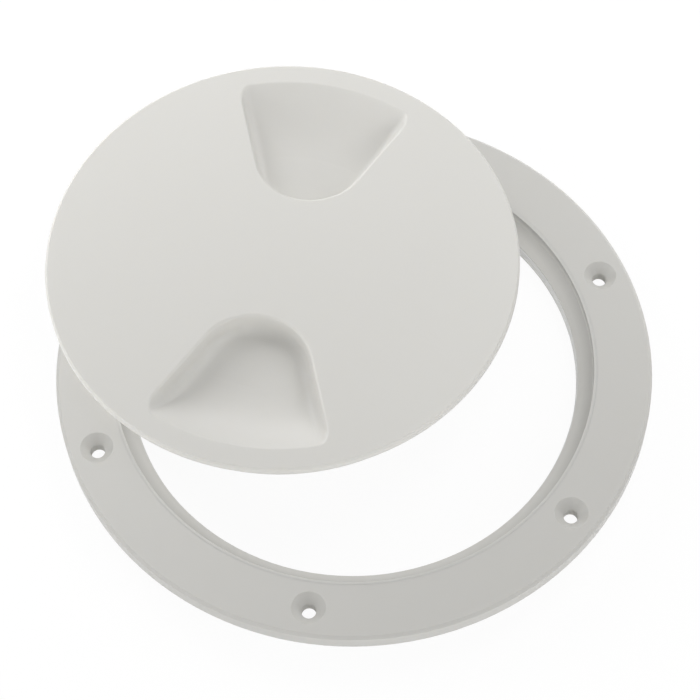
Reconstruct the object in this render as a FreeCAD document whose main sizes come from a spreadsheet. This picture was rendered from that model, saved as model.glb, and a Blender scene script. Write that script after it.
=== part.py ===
import FreeCAD, Part
import math
import os

import Sketcher

# A round deck inspection plate: a moulded ring that is screwed down over a hole in a deck, and the
# lid that screws into it, which here lies loose on the ring, pushed back and to the left. All sizes
# are in millimetres. The origin is on the ring's axis, in the face of the deck, with +Z up and +X
# through a screw hole, so the ring's flange stands above z = 0 and its collar hangs below it.
#
# The sizes follow from the opening outwards: the neck of the lid turns in the collar's bore, the
# seal lies round the neck's land under the rim, the rim covers the seal, the mouth clears the rim,
# and the flange is set out from the mouth. The seat is a cone, and the seal's sloping side beds on
# it. It starts at the depth where the squeezed seal brings the closed lid flush with the flange.

SIZES = (
    ("opening_diameter", 151.4, "bore of the collar"),
    ("collar_depth", 6.5, "how far the collar hangs below the deck's face"),
    ("collar_wall", 2.6, "wall of the collar and of the seat"),
    ("collar_bevel", 0.6, "bevels on the collar's lower edges"),
    ("seat_angle", 36.3, "slope of the seat, in degrees"),
    ("bore_gap", 0.6, "between the neck's land and the collar's bore"),
    ("flange_width", 19.5, "from the mouth's wall to the flange's edge"),
    ("flange_thickness", 6.5, "height of the flange above the deck"),
    ("flange_skin", 3.0, "what stays of the flange above its cored underside"),
    ("edge_wall", 3.2, "wall round the flange's edge, which beds on the deck"),
    ("flange_bevel", 1.0, "bevel on the flange's outer top edge"),
    ("mouth_bevel", 1.2, "bevel on the flange's inner top edge"),
    ("ribs_per_bay", 2, "ribs under the flange between two screws"),
    ("rib_thickness", 2.0, "ribs under the flange and under the lid"),
    ("rib_root", 0.5, "how far a rib or a boss runs into the wall that it joins"),
    ("screw_count", 6, "countersunk screw holes round the flange"),
    ("screw_edge_distance", 9.5, "from a screw's axis to the flange's edge"),
    ("screw_hole_diameter", 4.8, "clearance hole for the screw"),
    ("screw_head_diameter", 11.0, "countersink at the flange's top"),
    ("screw_head_angle", 90.0, "angle of the countersink, in degrees"),
    ("boss_diameter", 15.5, "boss round each screw under the flange"),
    ("mouth_clearance", 0.5, "between the lid's rim and the mouth's wall"),
    ("seal_width", 3.5, "sealing ring, from its bore to its outside"),
    ("seal_height", 4.2, "sealing ring, along its bore"),
    ("seal_edge", 2.5, "height of the sealing ring's outside, above its sloping side"),
    ("seal_squeeze", 0.5, "how far the closed lid presses the sealing ring"),
    ("seal_clearance", 0.1, "between the sealing ring and the lid"),
    ("seal_cover", 1.3, "how far the rim reaches out past the sealing ring"),
    ("rim_thickness", 2.8, "edge of the lid that covers the seal"),
    ("rim_bevel", 0.7, "bevel on the rim's top edge"),
    ("plate_thickness", 3.0, "top of the lid inside its neck"),
    ("land_height", 4.6, "plain land of the neck that the sealing ring sits on"),
    ("thread_height", 0.9, "how far the neck below the land is turned down for its thread"),
    ("neck_wall", 2.6, "wall of the neck"),
    ("neck_foot", 4.5, "how far the neck reaches below the finger recesses"),
    ("neck_bevel", 0.6, "bevel on the neck's lower edge, which leads it into the bore"),
    ("hub_radius", 14.0, "ring at the middle of the lid's ribs"),
    ("lid_rib_count", 8, "ribs under the lid"),
    ("lid_rib_height", 3.0, "ribs under the lid, below its plate"),
    ("recess_count", 2, "finger recesses round the lid"),
    ("recess_border", 7.6, "from the lid's edge to a recess"),
    ("recess_length", 48.5, "a recess along its middle line"),
    ("recess_end_radius", 19.6, "round inner end of a recess"),
    ("recess_half_angle", 24.1, "lean of a recess's side from its middle line, in degrees"),
    ("recess_depth", 8.5, "deepest part of a recess"),
    ("recess_wall", 2.5, "shell of a recess below the plate"),
    ("bed_radius", 44.0, "scooped bed of a recess, up to the lid's edge"),
    ("bed_lip_radius", 6.0, "runs the scoop on into the air above the plate"),
    ("wall_draft", 6.0, "lean of a recess's walls from upright, in degrees"),
    ("floor_round", 4.0, "between a recess's walls and its bed"),
    ("recess_edge_round", 1.0, "round on a recess's top edge"),
    ("cutter_rise", 8.0, "how far a recess's cutter stands above the plate"),
    ("shell_sink", 1.0, "how far a recess's shell starts below the plate's top"),
    ("lid_offset", 39.3, "from the ring's axis to the axis of the loose lid"),
    ("lid_bearing", 106.3, "where the loose lid lies, round from +X, in degrees"),
    ("lid_turn", 56.7, "how far the loose lid is turned, in degrees"),
    ("rest_gap", 0.1, "between the neck's lower edge and the flange that it lies on"),
)

# Radii and heights of the ring, from the sheet. Heights are from the deck's face.
BORE_R = "(Sizes.opening_diameter / 2)"
LAND_R = f"({BORE_R} - Sizes.bore_gap)"
SEAL_BORE_R = f"({LAND_R} + Sizes.seal_clearance)"
SEAL_R = f"({SEAL_BORE_R} + Sizes.seal_width)"
LID_R = f"({SEAL_R} + Sizes.seal_cover)"
MOUTH_R = f"({LID_R} + Sizes.mouth_clearance)"
CUP_R = f"({MOUTH_R} + Sizes.collar_wall)"
COLLAR_R = f"({BORE_R} + Sizes.collar_wall)"
FLANGE_R = f"({MOUTH_R} + Sizes.flange_width)"
EDGE_R = f"({FLANGE_R} - Sizes.edge_wall)"
SCREW_R = f"({FLANGE_R} - Sizes.screw_edge_distance)"
FLANGE_Z = "Sizes.flange_thickness"
CORE_Z = f"({FLANGE_Z} - Sizes.flange_skin)"
SLOPE = "tan(Sizes.seat_angle * 1 deg)"
SEAL_REST_Z = f"({FLANGE_Z} - Sizes.rim_thickness - Sizes.seal_edge + Sizes.seal_squeeze)"
SEAT_Z = f"({SEAL_REST_Z} + ({MOUTH_R} - {SEAL_R}) * {SLOPE})"
SEAT_FOOT_Z = f"({SEAT_Z} - ({MOUTH_R} - {BORE_R}) * {SLOPE})"
SEAT_WALL = "(Sizes.collar_wall / cos(Sizes.seat_angle * 1 deg))"
CUP_Z = f"({SEAT_Z} + Sizes.collar_wall * {SLOPE} - {SEAT_WALL})"
COLLAR_TOP_Z = f"({SEAT_FOOT_Z} + Sizes.collar_wall * {SLOPE} - {SEAT_WALL})"
COLLAR_Z = "(-Sizes.collar_depth)"
RIB_COUNT = "(Sizes.screw_count * Sizes.ribs_per_bay)"

# Radii and heights of the lid. Heights are from the neck's lower edge.
NECK_R = f"({LAND_R} - Sizes.thread_height)"
HOLLOW_R = f"({NECK_R} - Sizes.neck_wall)"
LID_TOP = "(Sizes.recess_depth + Sizes.recess_wall + Sizes.neck_foot)"
RIM_Z = f"({LID_TOP} - Sizes.rim_thickness)"
PLATE_Z = f"({LID_TOP} - Sizes.plate_thickness)"
LAND_Z = f"({RIM_Z} - Sizes.land_height)"
LID_RIB_Z = f"({PLATE_Z} - Sizes.lid_rib_height)"
SEAL_Z = f"({RIM_Z} - Sizes.seal_clearance)"

# A recess, along its middle line from the lid's axis.
RECESS_R = f"({LID_R} - Sizes.recess_border)"
END_CENTRE = f"({RECESS_R} - Sizes.recess_length + Sizes.recess_end_radius)"

# Where the loose lid lies.
REST_X = "(Sizes.lid_offset * cos(Sizes.lid_bearing * 1 deg))"
REST_Y = "(Sizes.lid_offset * sin(Sizes.lid_bearing * 1 deg))"
REST_Z = f"({FLANGE_Z} + Sizes.rest_gap)"
LID_TURN = "(Sizes.lid_turn * 1 deg)"

PAST = 1.0    # how far a cutter reaches past the material that it clears
TOUCH = 1e-4  # two places closer than this are the same place

doc = FreeCAD.newDocument("deck_inspection_plate")
sheet = doc.addObject("Spreadsheet::Sheet", "Sizes")


def fill_sheet():
    """Write each driving dimension into the sheet as name, value and note."""
    for row, (name, value, note) in enumerate(SIZES, 1):
        sheet.set(f"A{row}", name)
        sheet.set(f"B{row}", str(value))
        sheet.set(f"C{row}", note)
        sheet.setAlias(f"B{row}", name)
    doc.recompute()


def value(expression):
    """Work out one expression over the sheet as a number."""
    result = sheet.evalExpression(expression)
    return float(getattr(result, "Value", result))


def origin(body, role):
    """Find the plane or axis of a body's own origin that has this role."""
    return next(item for item in body.Origin.OriginFeatures if item.Role == role)


def make_body(name):
    """Start a body whose label is its name."""
    body = doc.addObject("PartDesign::Body", name)
    body.Label = name
    return body


def make_sketch(body, name, role, height="0"):
    """Start a sketch on one of the body's origin planes, raised by a height."""
    sketch = body.newObject("Sketcher::SketchObject", name)
    sketch.AttachmentSupport = [(origin(body, role), "")]
    sketch.MapMode = "FlatFace"
    if height != "0":
        sketch.setExpression("AttachmentOffset.Base.z", height)
    return sketch


def place_point(sketch, element, end, x, y, name):
    """Tie one coordinate or both of a point in a sketch to expressions."""
    for kind, axis, place in (("DistanceX", -2, x), ("DistanceY", -1, y)):
        if place is None:
            continue
        if place == "0":
            sketch.addConstraint(Sketcher.Constraint("PointOnObject", element, end, axis))
            continue
        constraint = Sketcher.Constraint(kind, -1, 1, element, end, value(place))
        index = sketch.addConstraint(constraint)
        label = f"{name}_{kind[-1].lower()}"
        sketch.renameConstraint(index, label)
        sketch.setExpression(f"Constraints.{label}", place)


def draw_loop(sketch, start, steps):
    """Draw a closed outline whose corners are tied to expressions.

    start is the first corner, as a pair of expressions. Each step leads to the next corner: a
    pair is a straight side, and a dict with end, centre and turn is an arc, whose end has None
    for the coordinate that follows from the arc. The last step comes back to the first corner.
    """
    corners = [start]
    ends = []
    for number, step in enumerate(steps):
        here = corners[-1]
        x0, y0 = value(here[0]), value(here[1])
        if isinstance(step, dict):
            cx, cy = (value(item) for item in step["centre"])
            x1, y1 = step["near"]
            radius = math.hypot(x0 - cx, y0 - cy)
            first = math.atan2(y0 - cy, x0 - cx)
            last = math.atan2(y1 - cy, x1 - cx)
            if step["turn"] == "left":
                ends.append((1, 2))
            else:
                first, last = last, first
                ends.append((2, 1))
            circle = Part.Circle(FreeCAD.Vector(cx, cy, 0), FreeCAD.Vector(0, 0, 1), radius)
            sketch.addGeometry(Part.ArcOfCircle(circle, first, last), False)
            place_point(sketch, number, 3, *step["centre"], f"centre{number}")
            corners.append((repr(x1), repr(y1)))
            place_point(sketch, number, ends[-1][1], *step["end"], f"end{number}")
        else:
            x1, y1 = value(step[0]), value(step[1])
            side = Part.LineSegment(FreeCAD.Vector(x0, y0, 0), FreeCAD.Vector(x1, y1, 0))
            sketch.addGeometry(side, False)
            ends.append((1, 2))
            corners.append(step)
            place_point(sketch, number, 2, step[0], step[1], f"corner{number}")
    for number, (first, last) in enumerate(ends):
        following = (number + 1) % len(ends)
        joint = Sketcher.Constraint("Coincident", number, last, following, ends[following][0])
        sketch.addConstraint(joint)


def draw_circle(sketch, name, x, radius):
    """Draw a circle on the sketch's horizontal axis, tied to expressions."""
    circle = Part.Circle(FreeCAD.Vector(value(x), 0, 0), FreeCAD.Vector(0, 0, 1), value(radius))
    element = sketch.addGeometry(circle, False)
    place_point(sketch, element, 3, x, "0", name)
    index = sketch.addConstraint(Sketcher.Constraint("Radius", element, value(radius)))
    sketch.renameConstraint(index, f"{name}_radius")
    sketch.setExpression(f"Constraints.{name}_radius", radius)


def revolve(body, name, kind, corners):
    """Turn a closed outline of straight sides about the body's upright axis."""
    sketch = make_sketch(body, f"{name}_section", "XZ_Plane")
    draw_loop(sketch, corners[0], [*corners[1:], corners[0]])
    return turn_section(body, name, kind, sketch)


def turn_section(body, name, kind, sketch):
    """Turn a section about its own upright axis, as a revolution or a groove."""
    feature = body.newObject(f"PartDesign::{kind}", name)
    feature.Profile = sketch
    feature.ReferenceAxis = (sketch, ["V_Axis"])
    feature.Angle = 360
    doc.recompute()
    return feature


def pad(body, name, sketch, length, down=False):
    """Raise a sketch into a solid, up or down."""
    feature = body.newObject("PartDesign::Pad", name)
    feature.Profile = sketch
    feature.Reversed = down
    feature.setExpression("Length", length)
    doc.recompute()
    return feature


def repeat(body, name, feature, count):
    """Repeat a feature evenly round the body's upright axis."""
    pattern = body.newObject("PartDesign::PolarPattern", name)
    pattern.Originals = [feature]
    pattern.Axis = (origin(body, "Z_Axis"), [""])
    pattern.Angle = 360
    pattern.setExpression("Occurrences", count)
    body.Tip = pattern
    doc.recompute()
    return pattern


def circles_at(shape, radius, height):
    """Name the whole circles of one radius at one height about the upright axis."""
    names = []
    for number, edge in enumerate(shape.Edges, 1):
        curve = edge.Curve
        if not isinstance(curve, Part.Circle):
            continue
        off_axis = math.hypot(curve.Center.x, curve.Center.y)
        if max(off_axis, abs(curve.Radius - radius), abs(curve.Center.z - height)) < TOUCH:
            names.append(f"Edge{number}")
    return names


def break_edges(body, name, kind, edges, size):
    """Round or bevel the named edges of the body's last feature: kind is Fillet or Chamfer."""
    base = body.Tip
    feature = body.newObject(f"PartDesign::{kind}", name)
    feature.Base = (base, edges)
    feature.setExpression("Radius" if kind == "Fillet" else "Size", size)
    doc.recompute()
    return feature


def bevel_circles(body, name, places, size):
    """Bevel the circles that lie at these pairs of radius and height."""
    shape = body.Shape
    edges = []
    for place_radius, height in places:
        edges += circles_at(shape, value(place_radius), value(height))
    return break_edges(body, name, "Chamfer", edges, size)


def radial_rib(body, name, height, inner, outer, length, turn=None):
    """Add one rib that runs outwards from one radius to another."""
    sketch = make_sketch(body, f"{name}_outline", "XY_Plane", height)
    if turn:
        sketch.AttachmentOffset = FreeCAD.Placement(
            FreeCAD.Vector(), FreeCAD.Rotation(FreeCAD.Vector(0, 0, 1), 1)
        )
        sketch.setExpression("AttachmentOffset.Rotation.Angle", turn)
    side = "(Sizes.rib_thickness / 2)"
    corners = [(inner, f"(-{side})"), (outer, f"(-{side})"), (outer, side), (inner, side)]
    draw_loop(sketch, corners[0], [*corners[1:], corners[0]])
    return pad(body, name, sketch, length)


def make_deck_ring():
    """Model the ring: cored flange, seat for the lid, collar, ribs, bosses and screw holes."""
    body = make_body("deck_ring")
    revolve(body, "ring_blank", "Revolution", [
        ("0", COLLAR_Z),
        (COLLAR_R, COLLAR_Z),
        (COLLAR_R, COLLAR_TOP_Z),
        (CUP_R, CUP_Z),
        (CUP_R, CORE_Z),
        (EDGE_R, CORE_Z),
        (EDGE_R, "0"),
        (FLANGE_R, "0"),
        (FLANGE_R, FLANGE_Z),
        ("0", FLANGE_Z),
    ])
    root_z = f"({CORE_Z} + Sizes.rib_root)"
    rib = radial_rib(
        body, "flange_rib", "0", f"({CUP_R} - Sizes.rib_root)", f"({EDGE_R} + Sizes.rib_root)",
        root_z, turn=f"(180 deg / {RIB_COUNT})",
    )
    repeat(body, "flange_ribs", rib, RIB_COUNT)

    sketch = make_sketch(body, "boss_outline", "XY_Plane")
    draw_circle(sketch, "boss", SCREW_R, "(Sizes.boss_diameter / 2)")
    boss = pad(body, "screw_boss", sketch, root_z)
    repeat(body, "screw_bosses", boss, "Sizes.screw_count")

    below = f"({COLLAR_Z} - {PAST})"
    above = f"({FLANGE_Z} + {PAST})"
    revolve(body, "seat_and_bore", "Groove", [
        ("0", below),
        (BORE_R, below),
        (BORE_R, SEAT_FOOT_Z),
        (MOUTH_R, SEAT_Z),
        (MOUTH_R, above),
        ("0", above),
    ])
    bevel_circles(body, "outer_edge", [(FLANGE_R, FLANGE_Z)], "Sizes.flange_bevel")
    bevel_circles(body, "mouth_edge", [(MOUTH_R, FLANGE_Z)], "Sizes.mouth_bevel")
    bevel_circles(
        body, "collar_edges", [(BORE_R, COLLAR_Z), (COLLAR_R, COLLAR_Z)], "Sizes.collar_bevel",
    )

    sketch = make_sketch(body, "screw_hole_centre", "XY_Plane", FLANGE_Z)
    draw_circle(sketch, "hole", SCREW_R, "(Sizes.screw_hole_diameter / 2)")
    doc.recompute()
    hole = body.newObject("PartDesign::Hole", "screw_hole")
    hole.Profile = sketch
    doc.recompute()
    hole.DepthType = "ThroughAll"
    hole.HoleCutType = "Countersink"
    hole.setExpression("Diameter", "Sizes.screw_hole_diameter")
    hole.setExpression("HoleCutDiameter", "Sizes.screw_head_diameter")
    hole.setExpression("HoleCutCountersinkAngle", "Sizes.screw_head_angle * 1 deg")
    doc.recompute()
    repeat(body, "screw_holes", hole, "Sizes.screw_count")
    return body


def recess_faces(shape, bed_height):
    """Tell a recess's walls from its bed: 'wall', 'bed' or 'top' for each face, by number."""
    kinds = {}
    for number, face in enumerate(shape.Faces, 1):
        surface = face.Surface
        if isinstance(surface, Part.Plane):
            flat = "bed" if abs(face.CenterOfMass.z - bed_height) < TOUCH else "top"
            kinds[number] = "wall" if abs(surface.Axis.z) < math.sqrt(0.5) else flat
        elif isinstance(surface, Part.Cone):
            kinds[number] = "wall"
        elif isinstance(surface, Part.Cylinder) and abs(surface.Center.x) > TOUCH:
            kinds[number] = "wall"
        else:
            kinds[number] = "bed"
    return kinds


def make_recess(name, grow, top, turn):
    """Model the space of one finger recess, or its shell where grow is the shell's wall.

    Its origin is on the lid's axis in the plate's top, and it points along +X before its turn.
    Only the space has its bed rounded into its walls: the shell's hidden corner stays thick.
    """
    body = make_body(name)
    lean = "(Sizes.recess_half_angle * 1 deg)"
    end_r = f"(Sizes.recess_end_radius + {grow})"
    depth = f"(Sizes.recess_depth + {grow})"
    bed_r = f"(Sizes.bed_radius + {grow})"
    touch_x = f"({END_CENTRE} - {end_r} * sin({lean}))"
    touch_y = f"({end_r} * cos({lean}))"
    far_x = f"({RECESS_R} + Sizes.bed_lip_radius + {grow} + {PAST})"
    far_y = f"({touch_y} + ({far_x} - {touch_x}) * tan({lean}))"
    sketch = make_sketch(body, f"{name}_outline", "XY_Plane", top)
    draw_loop(sketch, (touch_x, touch_y), [
        {
            "centre": (END_CENTRE, "0"),
            "end": (None, f"(-{touch_y})"),
            "near": (value(touch_x), -value(touch_y)),
            "turn": "left",
        },
        (far_x, f"(-{far_y})"),
        (far_x, far_y),
        (touch_x, touch_y),
    ])
    prism = pad(body, f"{name}_prism", sketch, f"({depth} + {top} + {PAST})", down=True)

    bed_height = -value(depth)
    walls = []
    for number, kind in recess_faces(prism.Shape, bed_height).items():
        inside = prism.Shape.Faces[number - 1].CenterOfMass.x < value(far_x) - PAST
        if kind == "wall" and inside:
            walls.append(f"Face{number}")
    draft = body.newObject("PartDesign::Draft", f"{name}_draft")
    draft.Base = (prism, walls)
    draft.NeutralPlane = (origin(body, "XY_Plane"), [""])
    draft.Reversed = True
    draft.setExpression("Angle", "Sizes.wall_draft * 1 deg")
    doc.recompute()

    run = "sqrt(2 * Sizes.bed_radius * Sizes.recess_depth - Sizes.recess_depth ^ 2)"
    bed_x = f"({RECESS_R} - {run})"
    bed_z = "(Sizes.bed_radius - Sizes.recess_depth)"
    rise_x = f"({bed_x} + sqrt({bed_r} ^ 2 - {bed_z} ^ 2))"
    lip = "Sizes.bed_lip_radius"
    lip_x = f"({rise_x} - {lip} * ({rise_x} - {bed_x}) / {bed_r})"
    lip_z = f"({lip} * {bed_z} / {bed_r})"
    wide = f"({far_x} + {far_y})"
    high = f"({lip_z} + Sizes.cutter_rise)"
    deep = f"(-{depth} - 2 * {PAST})"
    section = make_sketch(body, f"{name}_bed_section", "XZ_Plane")
    draw_loop(section, ("0", f"(-{depth})"), [
        (bed_x, f"(-{depth})"),
        {
            "centre": (bed_x, bed_z),
            "end": (None, "0"),
            "near": (value(rise_x), 0.0),
            "turn": "left",
        },
        {
            "centre": (lip_x, lip_z),
            "end": (None, lip_z),
            "near": (value(lip_x) + value(lip), value(lip_z)),
            "turn": "left",
        },
        (f"({lip_x} + {lip})", high),
        (wide, high),
        (wide, deep),
        ("0", deep),
        ("0", f"(-{depth})"),
    ])
    bed = turn_section(body, f"{name}_bed", "Groove", section)
    if grow == "0":
        round_bed(body, name, recess_faces(bed.Shape, bed_height))

    body.Placement = FreeCAD.Placement(
        FreeCAD.Vector(), FreeCAD.Rotation(FreeCAD.Vector(0, 0, 1), turn)
    )
    body.setExpression("Placement.Base.z", LID_TOP)
    return body


def round_bed(body, name, kinds):
    """Round the corner between a recess's bed and its walls."""
    bed = body.Tip
    numbers = {face.hashCode(): number for number, face in enumerate(bed.Shape.Faces, 1)}
    corners = []
    for number, edge in enumerate(bed.Shape.Edges, 1):
        sides = bed.Shape.ancestorsOfType(edge, Part.Face)
        if sorted(kinds[numbers[side.hashCode()]] for side in sides) == ["bed", "wall"]:
            corners.append(f"Edge{number}")
    break_edges(body, f"{name}_floor_round", "Fillet", corners, "Sizes.floor_round")


def make_lid_blank():
    """Model the lid without its recesses: plate, rim, land, neck and the ribs inside."""
    body = make_body("lid_blank")
    revolve(body, "lid_form", "Revolution", [
        ("0", PLATE_Z),
        (HOLLOW_R, PLATE_Z),
        (HOLLOW_R, "0"),
        (NECK_R, "0"),
        (NECK_R, LAND_Z),
        (LAND_R, LAND_Z),
        (LAND_R, RIM_Z),
        (LID_R, RIM_Z),
        (LID_R, LID_TOP),
        ("0", LID_TOP),
    ])
    bevel_circles(body, "rim_edge", [(LID_R, LID_TOP)], "Sizes.rim_bevel")
    bevel_circles(body, "neck_edge", [(NECK_R, "0")], "Sizes.neck_bevel")

    length = "(Sizes.lid_rib_height + Sizes.rib_root)"
    rib = radial_rib(
        body, "lid_rib", LID_RIB_Z, "(Sizes.hub_radius - Sizes.rib_thickness / 2)",
        f"({HOLLOW_R} + Sizes.rib_root)", length,
    )
    repeat(body, "lid_ribs", rib, "Sizes.lid_rib_count")

    sketch = make_sketch(body, "hub_outline", "XY_Plane", LID_RIB_Z)
    draw_circle(sketch, "hub_outside", "0", "Sizes.hub_radius")
    draw_circle(sketch, "hub_inside", "0", "(Sizes.hub_radius - Sizes.rib_thickness)")
    pad(body, "lid_hub", sketch, length)
    return body


def make_lid():
    """Model the lid: the blank, two shelled finger recesses and their rounded top edges."""
    blank = make_lid_blank()
    shells = []
    spaces = []
    count = int(value("Sizes.recess_count"))
    for number in range(count):
        turn = number * 360 / count
        shells.append(make_recess(f"shell{number}", "Sizes.recess_wall", "(-Sizes.shell_sink)", turn))
        spaces.append(make_recess(f"space{number}", "0", "Sizes.cutter_rise", turn))
    solid = doc.addObject("Part::MultiFuse", "lid_solid")
    solid.Shapes = [blank, *shells]
    for number, space in enumerate(spaces):
        cut = doc.addObject("Part::Cut", f"lid_recessed{number}")
        cut.Base = solid
        cut.Tool = space
        solid = cut
    doc.recompute()

    body = make_body("lid")
    body.BaseFeature = solid
    doc.recompute()
    top = value(LID_TOP)
    reach = value(RECESS_R) + value("Sizes.bed_lip_radius")
    edges = []
    for number, edge in enumerate(body.Shape.Edges, 1):
        box = edge.BoundBox
        level = max(abs(box.ZMin - top), abs(box.ZMax - top)) < TOUCH
        middle = edge.valueAt(edge.getParameterByLength(edge.Length / 2))
        if level and math.hypot(middle.x, middle.y) < min(reach, value(LID_R) - 2 * PAST):
            edges.append(f"Edge{number}")
    break_edges(body, "recess_edge", "Fillet", edges, "Sizes.recess_edge_round")

    body.Placement = FreeCAD.Placement(
        FreeCAD.Vector(), FreeCAD.Rotation(FreeCAD.Vector(0, 0, 1), value("Sizes.lid_turn"))
    )
    body.setExpression("Placement.Base.x", REST_X)
    body.setExpression("Placement.Base.y", REST_Y)
    body.setExpression("Placement.Base.z", REST_Z)
    body.setExpression("Placement.Rotation.Angle", LID_TURN)
    return body


def make_seal():
    """Model the sealing ring, round the neck's land and up against the rim."""
    body = make_body("sealing_ring")
    foot_r = f"({SEAL_R} - (Sizes.seal_height - Sizes.seal_edge) / {SLOPE})"
    revolve(body, "seal_form", "Revolution", [
        (SEAL_BORE_R, "(-Sizes.seal_height)"),
        (foot_r, "(-Sizes.seal_height)"),
        (SEAL_R, "(-Sizes.seal_edge)"),
        (SEAL_R, "0"),
        (SEAL_BORE_R, "0"),
    ])
    body.setExpression("Placement.Base.x", REST_X)
    body.setExpression("Placement.Base.y", REST_Y)
    body.setExpression("Placement.Base.z", f"({REST_Z} + {SEAL_Z})")
    return body


def check_model(parts):
    """Stop if any object failed to build or any sub-part isn't one sound solid."""
    for item in doc.Objects:
        if {"Invalid", "Error"} & set(item.State):
            raise RuntimeError(f"{item.Label} failed: {item.State}")
    for part in parts:
        shape = part.Shape
        if shape.isNull() or not shape.isValid() or len(shape.Solids) != 1:
            raise RuntimeError(f"{part.Label} is not one valid solid")


def export(parts):
    """Write each sub-part to its own file, named after it."""
    os.makedirs("parts", exist_ok=True)
    for part in parts:
        part.Shape.exportStep(f"parts/{part.Label}.step")


fill_sheet()
sub_parts = [make_deck_ring(), make_lid(), make_seal()]
doc.recompute()
check_model(sub_parts)
export(sub_parts)
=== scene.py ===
"""Looks of a round deck inspection plate: a screw-down ring and its loose screw-in lid.

The ring and the lid are white moulded plastic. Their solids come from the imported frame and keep
their shapes. This file adds the fine screw threads, the crisp lip round the ring's mouth, the
finishes, the studio light, the floor and the camera. All lengths are in metres.
"""
import logging
import math
from dataclasses import dataclass, field
from enum import Enum

import bmesh
import bpy
from mathutils import Matrix, Vector


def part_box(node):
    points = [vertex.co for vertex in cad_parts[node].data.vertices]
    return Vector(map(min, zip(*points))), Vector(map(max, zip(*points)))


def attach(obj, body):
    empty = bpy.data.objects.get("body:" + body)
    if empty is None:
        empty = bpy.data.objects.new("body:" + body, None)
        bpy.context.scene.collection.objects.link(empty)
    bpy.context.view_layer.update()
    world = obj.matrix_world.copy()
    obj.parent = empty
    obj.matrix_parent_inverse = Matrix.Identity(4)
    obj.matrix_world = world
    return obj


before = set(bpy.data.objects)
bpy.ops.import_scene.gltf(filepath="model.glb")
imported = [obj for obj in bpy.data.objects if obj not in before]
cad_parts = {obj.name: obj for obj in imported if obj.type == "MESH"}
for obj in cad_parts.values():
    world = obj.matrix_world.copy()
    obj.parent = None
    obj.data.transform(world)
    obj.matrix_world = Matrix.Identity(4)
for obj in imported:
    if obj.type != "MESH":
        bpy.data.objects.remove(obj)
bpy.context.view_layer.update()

LOG = logging.getLogger("deck_plate")
MM = 0.001
BLACK = (0, 0, 0, 1)
WHITE = (1, 1, 1, 1)

Colour = tuple[float, float, float]
Point = tuple[float, float, float]
Socket = bpy.types.NodeSocket
Feed = Socket | float | tuple


class Quality(Enum):
    """How many straight pieces a round form gets.

    Attributes:
        TURN: Over a full turn of a thread or of a turned form.
        RIDGE: Round the section of a thread's ridge.
    """

    TURN = 360
    RIDGE = 10


class Lit(Enum):
    """Which half of the plate a lamp shines on; the lid throws no shade on the ring.

    Attributes:
        LID: The lid with what it carries, and the floor.
        RING: The ring with what it carries.
    """

    LID = ("lid", "sealing_ring", "neck_thread", "floor")
    RING = ("deck_ring", "collar_thread", "mouth_lip")

    def gather(self) -> bpy.types.Collection:
        """Put this half's objects in a collection of their own.

        Returns:
            The collection, which is made once.
        """
        name = f"lit_{self.name.lower()}"
        if name not in bpy.data.collections:
            group = bpy.data.collections.new(name)
            for member in self.value:
                group.objects.link(bpy.data.objects[member])
        return bpy.data.collections[name]


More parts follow.
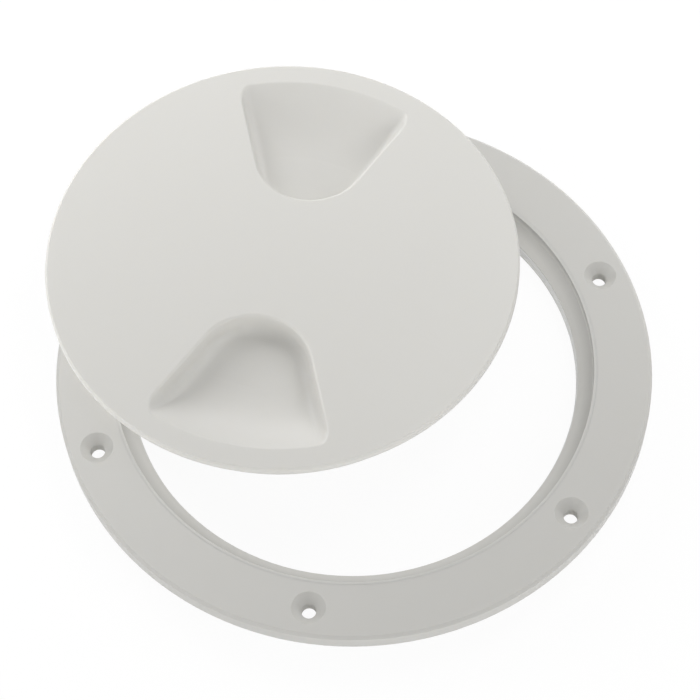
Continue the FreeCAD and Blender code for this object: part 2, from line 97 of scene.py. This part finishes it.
@dataclass
class Wiring:
    """A node tree, with short ways to add the nodes that this file needs.

    Attributes:
        tree: The node tree.
    """

    tree: bpy.types.NodeTree

    def feed(self, node: bpy.types.Node, feeds: dict[str | int, Feed]) -> None:
        """Give a node what it works on.

        Args:
            node: The node.
            feeds: A socket or a constant for each input, by the input's name or number.
        """
        for key, value in feeds.items():
            if isinstance(value, Socket):
                self.tree.links.new(value, node.inputs[key])
            else:
                node.inputs[key].default_value = value

    def add(self, kind: str, feeds: dict[str | int, Feed], **options: str | int) -> bpy.types.Node:
        """Add a node.

        Args:
            kind: Type of the node.
            feeds: A socket or a constant for each input, by the input's name or number.
            options: The node's own settings.

        Returns:
            The new node.
        """
        node = self.tree.nodes.new(kind)
        for option, value in options.items():
            setattr(node, option, value)
        self.feed(node, feeds)
        return node

    def math(self, operation: str, first: Feed, second: Feed) -> Socket:
        """Add a sum or a comparison of two numbers.

        Args:
            operation: What is done with them, in Blender's word for it.
            first: The first number.
            second: The second number.

        Returns:
            The socket with the result; a comparison gives 1 where it holds and 0 elsewhere.
        """
        return self.add("ShaderNodeMath", {0: first, 1: second}, operation=operation).outputs[0]

    def product(self, *factors: Feed) -> Socket:
        """Multiply numbers.

        Args:
            factors: The numbers.

        Returns:
            The socket with their product.
        """
        result = factors[0]
        for factor in factors[1:]:
            result = self.math("MULTIPLY", result, factor)
        return result

    def ramp(
        self, value: Feed, start: Feed, end: Feed, low: Feed, high: Feed, shape: str = "LINEAR"
    ) -> Socket:
        """Add a ramp that is level before its start and after its end.

        Args:
            value: Number that the ramp follows.
            start: Number where it starts.
            end: Number where it ends.
            low: Its level at the start.
            high: Its level at the end.
            shape: How it rises, in Blender's word for it.

        Returns:
            The socket with the ramp's level.
        """
        feeds = {"Value": value, "From Min": start, "From Max": end, "To Min": low, "To Max": high}
        return self.add("ShaderNodeMapRange", feeds, interpolation_type=shape).outputs["Result"]

    def blend(self, share: Feed, first: Feed, second: Feed) -> Socket:
        """Mix two colours.

        Args:
            share: Share of the second colour.
            first: The first colour.
            second: The second colour.

        Returns:
            The socket with the mixed colour.
        """
        feeds = {"Factor": share, "A": first, "B": second}
        return self.add("ShaderNodeMix", feeds, data_type="RGBA").outputs["Result"]

    def mottle(self, place: Socket, scale: float, detail: float) -> Socket:
        """Add a cloudy pattern.

        Args:
            place: Socket with the coordinates.
            scale: Clouds over a metre.
            detail: Octaves of finer clouds in them.

        Returns:
            The socket with the pattern's level, from 0 to 1.
        """
        feeds = {"Vector": place, "Scale": scale, "Detail": detail}
        return self.add("ShaderNodeTexNoise", feeds).outputs["Fac"]

    def object_place(self) -> Socket:
        """Give the coordinates of the object that the material is on."""
        return self.add("ShaderNodeTexCoord", {}).outputs["Object"]

    def seen_directly(self) -> Socket:
        """Give 1 for what the camera sees directly and 0 for other light."""
        return self.add("ShaderNodeLightPath", {}).outputs["Is Camera Ray"]


def new_material(name: str) -> tuple[bpy.types.Material, Wiring, bpy.types.Node]:
    """Make a material with its usual surface shader.

    Args:
        name: Name of the material.

    Returns:
        The material, its wiring and its surface shader.
    """
    material = bpy.data.materials.new(name)
    material.use_nodes = True
    return material, Wiring(material.node_tree), material.node_tree.nodes["Principled BSDF"]


def add_object(name: str, data: bpy.types.ID) -> bpy.types.Object:
    """Put a new object in the scene.

    Args:
        name: Name of the object.
        data: Its mesh, light or camera.

    Returns:
        The new object.
    """
    new = bpy.data.objects.new(name, data)
    bpy.context.scene.collection.objects.link(new)
    return new


@dataclass(frozen=True)
class MouldedPlastic:
    """A satin moulded plastic with a faint cloudiness and a fine spark-eroded grain.

    Attributes:
        name: Name of the material.
        colour: Base colour, linear.
        cloud: How much the colour drifts over the moulding, as a share.
        cloud_scale: Clouds over a metre.
        cloud_detail: Octaves of finer clouds.
        roughness: Roughness of the satin surface.
        sheen_drift: How much the roughness drifts with the grain, either way.
        refraction: Index of refraction.
        grain_size: Size of the grain.
        grain_detail: Octaves of finer grain.
        grain_depth: Depth of the grain.
        soft_edge: How far edges are softened, in the shading.
        edge_samples: Rays that look for an edge.
        bleed: Share of the light that seeps through the plastic before it leaves.
        bleed_depth: How far that light seeps.
        bleed_tint: Share of that depth that red, green and blue light reach.
    """

    name: str
    colour: Colour
    cloud: float = 0.012
    cloud_scale: float = 14.0
    cloud_detail: float = 2.0
    roughness: float = 0.42
    sheen_drift: float = 0.04
    refraction: float = 1.49
    grain_size: float = 0.35 * MM
    grain_detail: float = 3.0
    grain_depth: float = 0.004 * MM
    soft_edge: float = 0.3 * MM
    edge_samples: int = 6
    bleed: float = 0.3
    bleed_depth: float = 1.5 * MM
    bleed_tint: Colour = (1.0, 0.95, 0.85)

    def build(self) -> bpy.types.Material:
        """Make the material.

        Returns:
            The new material.
        """
        material, wires, shader = new_material(self.name)
        place = wires.object_place()
        drifts = (-self.cloud, self.cloud)
        dark, bright = ((*(part * (1 + drift) for part in self.colour), 1) for drift in drifts)
        tint = wires.blend(wires.mottle(place, self.cloud_scale, self.cloud_detail), dark, bright)
        grain = wires.mottle(place, 1 / self.grain_size, self.grain_detail)
        glossy, dull = self.roughness - self.sheen_drift, self.roughness + self.sheen_drift
        edge = wires.add("ShaderNodeBevel", {"Radius": self.soft_edge}, samples=self.edge_samples)
        bump = wires.add("ShaderNodeBump", {
            "Distance": self.grain_depth,
            "Height": grain,
            "Normal": edge.outputs["Normal"],
        })
        wires.feed(shader, {
            "Base Color": self._shade(wires, place, tint),
            "Roughness": wires.ramp(grain, 0.0, 1.0, glossy, dull),
            "Normal": bump.outputs["Normal"],
            "IOR": self.refraction,
            "Subsurface Weight": self.bleed,
            "Subsurface Radius": self.bleed_tint,
            "Subsurface Scale": self.bleed_depth,
        })
        return material

    def _shade(self, wires: Wiring, place: Socket, colour: Socket) -> Socket:
        """Leave the colour as it is; a plastic with painted shade in a corner changes it there.

        Args:
            wires: Wiring of the material.
            place: Socket with the coordinates.
            colour: Socket with the plastic's colour.

        Returns:
            The socket with the finished colour.
        """
        return colour


@dataclass(frozen=True)
class SeatShadedPlastic(MouldedPlastic):
    """Moulded plastic with painted shade: darker on a conical seat towards the wall round it, and up
    that wall.

    Attributes:
        wall: Radius of the wall.
        reach: How far from the wall the painted shade on the seat starts.
        seat_painted_shade: Share of the colour that the painted shade takes from the seat at the
            wall.
        foot: Height of the wall's foot.
        top: Height of the wall's top.
        wall_painted_shade: Share of the colour that the painted shade takes from the wall at its top.
        slack: How far the wall's flat facets stray from its radius, at most.
    """

    wall: float = 80.5 * MM
    reach: float = 3.2 * MM
    seat_painted_shade: float = 0.18
    foot: float = 3.5 * MM
    top: float = 6.5 * MM
    wall_painted_shade: float = 0.34
    slack: float = 0.1 * MM

    def _shade(self, wires: Wiring, place: Socket, colour: Socket) -> Socket:
        """Paint shade on the seat and on the wall, darkening the colour towards the corner between
        them.

        Args:
            wires: Wiring of the material.
            place: Socket with the coordinates, whose origin is on the wall's axis in the deck's face.
            colour: Socket with the plastic's colour.

        Returns:
            The socket with the finished colour.
        """
        # Painted shade: the colour is darkened towards black on the seat near the wall and up the
        # wall, where shade falls in that corner.
        flat = wires.add("ShaderNodeVectorMath", {0: place, 1: (1, 1, 0)}, operation="MULTIPLY")
        length = wires.add("ShaderNodeVectorMath", {0: flat.outputs[0]}, operation="LENGTH")
        radius = length.outputs["Value"]
        height = wires.add("ShaderNodeSeparateXYZ", {0: place}).outputs["Z"]
        seat = wires.product(
            wires.ramp(radius, self.wall - self.reach, self.wall, 0.0, self.seat_painted_shade),
            wires.math("GREATER_THAN", height, 0.0),
            wires.math("LESS_THAN", radius, self.wall - self.slack),
        )
        rise = wires.product(
            wires.ramp(height, self.foot, self.top, 0.0, self.wall_painted_shade),
            wires.math("GREATER_THAN", radius, self.wall - self.slack),
            wires.math("LESS_THAN", radius, self.wall + self.slack),
        )
        # Blend the colour towards black by the amount of painted shade.
        return wires.blend(wires.math("ADD", seat, rise), colour, BLACK)


@dataclass(frozen=True)
class SealRubber:
    """The matt black rubber of the sealing ring, with a faint bloom.

    Attributes:
        name: Name of the material.
        colour: Base colour, linear.
        bloom: Colour where the rubber has bloomed.
        bloom_scale: Patches of bloom over a metre.
        bloom_detail: Octaves of finer patches.
        bloom_depth: How far the bloom stands proud.
        roughness: Roughness of the surface.
    """

    name: str
    colour: Colour = (0.018, 0.018, 0.019)
    bloom: Colour = (0.04, 0.04, 0.041)
    bloom_scale: float = 260.0
    bloom_detail: float = 4.0
    bloom_depth: float = 0.02 * MM
    roughness: float = 0.6

    def build(self) -> bpy.types.Material:
        """Make the material.

        Returns:
            The new material.
        """
        material, wires, shader = new_material(self.name)
        patches = wires.mottle(wires.object_place(), self.bloom_scale, self.bloom_detail)
        bump = wires.add("ShaderNodeBump", {"Distance": self.bloom_depth, "Height": patches})
        wires.feed(shader, {
            "Base Color": wires.blend(patches, (*self.colour, 1), (*self.bloom, 1)),
            "Roughness": self.roughness,
            "Normal": bump.outputs["Normal"],
        })
        return material


class HelixTree:
    """A geometry node tree that runs a rounded screw-thread ridge along a helix.

    Attributes:
        SOCKETS: Name and type of each input.
        STUB: Share of the ridge's thickness that is left at its very ends.
        tree: The node tree.
        sockets: Identifier of each input, by its name.
    """

    SOCKETS = (
        ("Centre", "NodeSocketVector"),
        ("Wall Radius", "NodeSocketFloat"),
        ("Ridge Radius", "NodeSocketFloat"),
        ("Pitch", "NodeSocketFloat"),
        ("Turns", "NodeSocketFloat"),
        ("Run Out", "NodeSocketFloat"),
        ("Finish", "NodeSocketMaterial"),
    )
    STUB = 0.05

    def __init__(self) -> None:
        """Build the tree."""
        self.tree = bpy.data.node_groups.new("thread_ridge", "GeometryNodeTree")
        self.sockets: dict[str, str] = {}
        for name, kind in self.SOCKETS:
            socket = self.tree.interface.new_socket(name, in_out="INPUT", socket_type=kind)
            self.sockets[name] = socket.identifier
        self.tree.interface.new_socket("Ridge", in_out="OUTPUT", socket_type="NodeSocketGeometry")
        self._wire()

    def _wire(self) -> None:
        """Add the nodes and their links."""
        wires = Wiring(self.tree)
        given = wires.add("NodeGroupInput", {}).outputs

        helix = wires.add("GeometryNodeCurveSpiral", {
            "Resolution": Quality.TURN.value,
            "Rotations": given["Turns"],
            "Start Radius": given["Wall Radius"],
            "End Radius": given["Wall Radius"],
            "Height": wires.product(given["Pitch"], given["Turns"]),
        })
        placed = wires.add("GeometryNodeTransform", {
            "Geometry": helix.outputs["Curve"],
            "Translation": given["Centre"],
        })

        along = wires.add("GeometryNodeSplineParameter", {}).outputs["Factor"]
        from_end = wires.math("MINIMUM", along, wires.math("SUBTRACT", 1.0, along))
        swell = wires.ramp(from_end, 0.0, given["Run Out"], self.STUB, 1.0, "SMOOTHSTEP")
        section = wires.add("GeometryNodeCurvePrimitiveCircle", {
            "Resolution": Quality.RIDGE.value,
            "Radius": 1.0,
        })
        sweep = wires.add("GeometryNodeCurveToMesh", {
            "Curve": placed.outputs["Geometry"],
            "Profile Curve": section.outputs["Curve"],
            "Scale": wires.product(swell, given["Ridge Radius"]),
            "Fill Caps": True,
        })

        real = wires.add("GeometryNodeRealizeInstances", {"Geometry": sweep.outputs["Mesh"]})
        smooth = wires.add("GeometryNodeSetShadeSmooth", {"Geometry": real.outputs["Geometry"]})
        coat = wires.add("GeometryNodeSetMaterial", {
            "Geometry": smooth.outputs["Geometry"],
            "Material": given["Finish"],
        })
        wires.add("NodeGroupOutput", {"Ridge": coat.outputs["Geometry"]})

    def make(self, name: str, values: dict[str, object]) -> bpy.types.Object:
        """Turn the tree's result into a plain mesh.

        Args:
            name: Name of the new object.
            values: Value of each named input.

        Returns:
            The new object, which has no modifier.
        """
        carrier = add_object(f"{name}_carrier", bpy.data.meshes.new(name))
        modifier = carrier.modifiers.new("ridge", "NODES")
        modifier.node_group = self.tree
        for key, item in values.items():
            modifier[self.sockets[key]] = item
        bpy.context.view_layer.update()
        evaluated = carrier.evaluated_get(bpy.context.evaluated_depsgraph_get())
        mesh = bpy.data.meshes.new_from_object(evaluated)
        mesh.name = name
        bpy.data.objects.remove(carrier)
        return add_object(name, mesh)


@dataclass
class Thread:
    """One screw thread: a rounded ridge that winds round a wall.

    Attributes:
        name: Name of the piece.
        centre: Point on the thread's axis at the height where it starts.
        wall: Radius of the wall that it stands on.
        ridge: Radius of the ridge's rounded section, whose middle is in the wall.
        pitch: Rise over a turn.
        turns: Number of turns.
        run_out: Share of its length over which each end sinks into the wall.
    """

    name: str
    centre: Vector
    wall: float
    ridge: float
    pitch: float
    turns: float
    run_out: float = 0.06

    def build(self, tree: HelixTree, finish: bpy.types.Material) -> bpy.types.Object:
        """Make the thread's piece.

        Args:
            tree: Tree that runs the ridge along its helix.
            finish: Material of the thread.

        Returns:
            The thread as a plain mesh object.
        """
        return tree.make(self.name, {
            "Centre": tuple(self.centre),
            "Wall Radius": self.wall,
            "Ridge Radius": self.ridge,
            "Pitch": self.pitch,
            "Turns": self.turns,
            "Run Out": self.run_out,
            "Finish": finish,
        })


def dress(node: str, material: bpy.types.Material) -> None:
    """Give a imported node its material.

    Args:
        node: Name of the node.
        material: Material for all of its faces.
    """
    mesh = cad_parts[node].data
    mesh.materials.clear()
    mesh.materials.append(material)


def lathe(name: str, section: list[tuple[float, float]]) -> bpy.types.Object:
    """Turn a closed section round the Z axis.

    Args:
        name: Name of the new object.
        section: Radius and height of each corner, in order round the section.

    Returns:
        The new object, smooth round its turn and sharp at the section's corners.
    """
    form = bmesh.new()
    loops = []
    for step in range(Quality.TURN.value):
        angle = math.tau * step / Quality.TURN.value
        across, along = math.cos(angle), math.sin(angle)
        loops.append([form.verts.new((r * across, r * along, z)) for r, z in section])
    for this, following in zip(loops, loops[1:] + loops[:1]):
        for corner in range(len(section)):
            after = (corner + 1) % len(section)
            face = form.faces.new((this[corner], following[corner], following[after], this[after]))
            face.smooth = True
            form.edges.get((this[corner], following[corner])).smooth = False
    bmesh.ops.recalc_face_normals(form, faces=form.faces)
    mesh = bpy.data.meshes.new(name)
    form.to_mesh(mesh)
    form.free()
    return add_object(name, mesh)


@dataclass
class DeckRing:
    """The ring that is screwed to the deck, with its mouth's crisp lip and its collar's thread.

    Attributes:
        mouth: Radius of the mouth's wall.
        flange_top: Height of the flange's top.
        lip: Width and height of the lip that fills the bevel round the mouth.
        lip_bevel: Bevel that is left on the lip's edge.
        lip_root: How deep the lip is sunk into the flange.
        bore: Radius of the collar's bore.
        thread_foot: Height where the thread starts.
        pitch: Rise of the thread over a turn.
        turns: Turns of the thread.
        ridge: Radius of the thread's rounded ridge.
        finish: The ring's plastic, with painted shade on the seat and up the mouth's wall.
        thread_gloss_and_highlight: The ring's plastic, glossier where the mould was polished for the
            thread, and lighter in colour as a painted highlight on the thread's crests.
    """

    mouth: float = 80.5 * MM
    flange_top: float = 6.5 * MM
    lip: float = 1.2 * MM
    lip_bevel: float = 0.25 * MM
    lip_root: float = 0.5 * MM
    bore: float = 75.7 * MM
    thread_foot: float = -5.4 * MM
    pitch: float = 1.25 * MM
    turns: float = 3.5
    ridge: float = 0.36 * MM
    # The ring's plastic carries painted shade in the corner of its mouth's seat and wall.
    finish: MouldedPlastic = field(
        default_factory=lambda: SeatShadedPlastic("ring_white", (0.627, 0.62, 0.593))
    )
    # A lighter colour than the ring's paints a highlight on the thread's crests; the low roughness is
    # the gloss.
    thread_gloss_and_highlight: MouldedPlastic = field(
        default_factory=lambda: MouldedPlastic("thread_white", (0.76, 0.76, 0.75), roughness=0.2)
    )

    def build(self, tree: HelixTree) -> None:
        """Dress the ring, sharpen its mouth and wind its thread.

        Args:
            tree: Tree that runs a ridge along a helix.
        """
        material = self.finish.build()
        dress("deck_ring", material)
        self._sharpen_mouth(material)
        foot = Vector((0, 0, self.thread_foot))
        thread = Thread("collar_thread", foot, self.bore, self.ridge, self.pitch, self.turns)
        piece = thread.build(tree, self.thread_gloss_and_highlight.build())
        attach(piece, "frame")
        LOG.info("deck ring: dressed, thread of %d faces", len(piece.data.polygons))

    def _sharpen_mouth(self, material: bpy.types.Material) -> None:
        """Fill the bevel round the mouth, so that the flange ends in a crisp edge.

        Args:
            material: The ring's material.
        """
        foot = self.flange_top - self.lip
        rim = self.mouth + self.lip
        section = [
            (self.mouth, foot),
            (rim, foot + self.lip - self.lip_root),
            (rim, self.flange_top),
            (self.mouth + self.lip_bevel, self.flange_top),
            (self.mouth, self.flange_top - self.lip_bevel),
        ]
        piece = lathe("mouth_lip", section)
        piece.data.materials.append(material)
        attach(piece, "frame")
        LOG.info("mouth: lip of %d faces", len(piece.data.polygons))


@dataclass
class Lid:
    """The screw-in lid that lies loose on the ring, with the thread round its neck.

    Attributes:
        neck: Radius of the neck's wall.
        thread_lift: Height over the neck's foot where the thread starts.
        pitch: Rise of the thread over a turn.
        turns: Turns of the thread.
        ridge: Radius of the thread's rounded ridge.
        finish: The lid's plastic.
    """

    neck: float = 74.2 * MM
    thread_lift: float = 1.8 * MM
    pitch: float = 1.5 * MM
    turns: float = 3.2
    ridge: float = 0.85 * MM
    finish: MouldedPlastic = field(
        default_factory=lambda: MouldedPlastic("lid_white", (0.688, 0.68, 0.65))
    )

    def build(self, tree: HelixTree) -> None:
        """Dress the lid and wind its thread.

        Args:
            tree: Tree that runs a ridge along a helix.
        """
        material = self.finish.build()
        dress("lid", material)
        low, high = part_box("lid")
        foot = Vector(((low.x + high.x) / 2, (low.y + high.y) / 2, low.z + self.thread_lift))
        thread = Thread("neck_thread", foot, self.neck, self.ridge, self.pitch, self.turns)
        piece = thread.build(tree, material)
        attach(piece, "cover")
        LOG.info("lid: dressed, thread of %d faces", len(piece.data.polygons))


@dataclass
class SealingRing:
    """The rubber ring round the lid's neck.

    Attributes:
        finish: The ring's rubber.
    """

    finish: SealRubber = SealRubber("seal_black")

    def build(self) -> None:
        """Dress the sealing ring."""
        dress("sealing_ring", self.finish.build())
        LOG.info("sealing ring: dressed")


@dataclass(frozen=True)
class SoftBox:
    """A square soft light that faces the plate.

    Attributes:
        lit: Half of the plate that it shines on.
        name: Name of the light.
        bearing: Where it stands round the plate, in degrees; 0 is the picture's right, 90 its back.
        height: How high it stands, in degrees over the deck.
        distance: How far off it is.
        side: Length of its sides.
        power: Its power in watts.
        low: Height up to which a light would glare in the gloss, so that it doesn't show there.
    """

    lit: Lit
    name: str
    bearing: float
    height: float
    distance: float
    side: float
    power: float
    low: float = 20.0

    def build(self, middle: Vector, view_turn: float) -> None:
        """Hang the light.

        Args:
            middle: Point that it faces.
            view_turn: Angle from the picture's right to the X axis, in degrees.
        """
        light = bpy.data.lights.new(self.name, "AREA")
        light.shape = "SQUARE"
        light.size = self.side
        light.energy = self.power
        lamp = add_object(self.name, light)
        lamp.visible_glossy = self.height > self.low
        lamp.light_linking.receiver_collection = self.lit.gather()
        if self.lit is Lit.RING:
            lamp.light_linking.blocker_collection = self.lit.gather()
        bearing = math.radians(self.bearing - view_turn)
        height = math.radians(self.height)
        flat = math.cos(height)
        away = Vector((math.cos(bearing) * flat, math.sin(bearing) * flat, math.sin(height)))
        lamp.location = middle + away * self.distance
        lamp.rotation_euler = (-away).to_track_quat("-Z", "Y").to_euler()


@dataclass
class Studio:
    """A white table under soft light.

    Attributes:
        floor_height: Height of the floor, a hair under the collar's lowest edge.
        floor_side: Length of the floor's sides.
        floor_colour: Colour of the floor, as the light finds it.
        glow: How much light the floor gives of its own.
        shadow: Share of the shaded floor that the camera sees through its white.
        fill: Brightness of the white room all round.
        view_turn: Angle from the picture's right to the X axis, in degrees.
        middle: Point that the lights face.
        boxes: The soft lights.
    """

    floor_height: float = -6.55 * MM
    floor_side: float = 6.0
    floor_colour: float = 0.88
    glow: float = 0.2
    shadow: float = 0.08
    fill: float = 0.3
    view_turn: float = 19.4625
    middle: Point = (0.0, 0.03, 0.0)
    boxes: tuple[SoftBox, ...] = (
        SoftBox(Lit.LID, "lid_front", 270, 12, 1.5, 0.7, 9.18),
        SoftBox(Lit.LID, "lid_front_right", 315, 38, 1.5, 0.9, 4.21),
        SoftBox(Lit.LID, "lid_back_right", 45, 30, 0.6, 0.3, 0.5),
        SoftBox(Lit.LID, "lid_back_right_high", 45, 55, 0.6, 0.3, 0.76),
        SoftBox(Lit.LID, "lid_back_left", 135, 32, 0.6, 0.3, 1.3),
        SoftBox(Lit.LID, "lid_back", 98, 22, 0.6, 0.2, 0.52),
        SoftBox(Lit.LID, "lid_left_low", 180, 8, 0.6, 0.3, 1.6),
        SoftBox(Lit.RING, "ring_front", 270, 12, 1.5, 0.7, 4.4),
        SoftBox(Lit.RING, "ring_front_right", 315, 38, 1.5, 0.9, 4.7),
        SoftBox(Lit.RING, "ring_back_right", 45, 30, 0.6, 0.3, 1.35),
        SoftBox(Lit.RING, "ring_left", 180, 30, 0.6, 0.3, 0.82),
        SoftBox(Lit.RING, "ring_back_left", 135, 55, 0.6, 0.3, 0.98),
    )

    def build(self) -> None:
        """Lay the floor, set the room's brightness and hang the lights."""
        self._lay_floor()
        self._light_room()
        for box in self.boxes:
            box.build(Vector(self.middle), self.view_turn)
        LOG.info("studio: floor and %d lights", len(self.boxes))

    def _lay_floor(self) -> None:
        """Lay a floor that is white to the camera and keeps the object's shadow."""
        half = self.floor_side / 2
        corners = [(-half, -half), (half, -half), (half, half), (-half, half)]
        mesh = bpy.data.meshes.new("floor")
        mesh.from_pydata([(x, y, self.floor_height) for x, y in corners], [], [(0, 1, 2, 3)])
        floor = add_object("floor", mesh)

        material, wires, shader = new_material("floor_white")
        material.node_tree.nodes.remove(shader)
        matt = wires.add("ShaderNodeBsdfDiffuse", {"Color": (*(self.floor_colour,) * 3, 1)})
        glow = wires.add("ShaderNodeEmission", {"Strength": self.glow})
        table = wires.add("ShaderNodeAddShader", {0: matt.outputs[0], 1: glow.outputs[0]})
        white = wires.add("ShaderNodeEmission", {})
        blend = wires.add("ShaderNodeMixShader", {
            "Fac": wires.product(wires.seen_directly(), 1 - self.shadow),
            1: table.outputs[0],
            2: white.outputs[0],
        })
        wires.feed(material.node_tree.nodes["Material Output"], {"Surface": blend.outputs[0]})
        mesh.materials.append(material)

    def _light_room(self) -> None:
        """Make the room white where it is seen and softly bright where it only lights."""
        world = bpy.data.worlds.new("white_room")
        bpy.context.scene.world = world
        world.use_nodes = True
        nodes = world.node_tree.nodes
        wires = Wiring(world.node_tree)
        room = nodes["Background"]
        wires.feed(room, {"Color": WHITE, "Strength": self.fill})
        white = wires.add("ShaderNodeBackground", {"Color": WHITE})
        blend = wires.add("ShaderNodeMixShader", {
            "Fac": wires.seen_directly(),
            1: room.outputs[0],
            2: white.outputs[0],
        })
        wires.feed(nodes["World Output"], {"Surface": blend.outputs[0]})


@dataclass
class ViewCamera:
    """The camera, where the photograph was taken from.

    Attributes:
        place: Where it stands.
        right: Direction of the picture's right.
        above: Direction of the picture's top.
        lens: Focal length in millimetres.
        sensor: Width of the sensor in millimetres.
        half_pixel: How far the picture's middle lies from the lens's axis, in picture widths.
        nearest: Distance within which nothing is drawn.
    """

    place: Point = (-0.114864, -0.325040, 0.627843)
    right: Point = (0.93400, -0.35694, -0.01570)
    above: Point = (0.31861, 0.81221, 0.48867)
    lens: float = 108.78
    sensor: float = 36.0
    half_pixel: float = 0.5 / 700
    nearest: float = 0.01

    def build(self) -> None:
        """Set up the camera."""
        data = bpy.data.cameras.new("camera")
        data.sensor_width = self.sensor
        data.lens = self.lens
        data.shift_x = -self.half_pixel
        data.shift_y = self.half_pixel
        data.clip_start = self.nearest
        camera = add_object("camera", data)
        right = Vector(self.right).normalized()
        above = Vector(self.above)
        above = (above - above.dot(right) * right).normalized()
        turn = Matrix((right, above, right.cross(above))).transposed()
        camera.matrix_world = Matrix.Translation(self.place) @ turn.to_4x4()
        bpy.context.scene.camera = camera


def main() -> None:
    """Build the scene."""
    logging.basicConfig(level=logging.INFO, format="%(name)s: %(message)s")
    ViewCamera().build()
    tree = HelixTree()
    DeckRing().build(tree)
    Lid().build(tree)
    SealingRing().build()
    Studio().build()
    bpy.context.scene.view_settings.view_transform = "Standard"


if __name__ == "__main__":
    main()
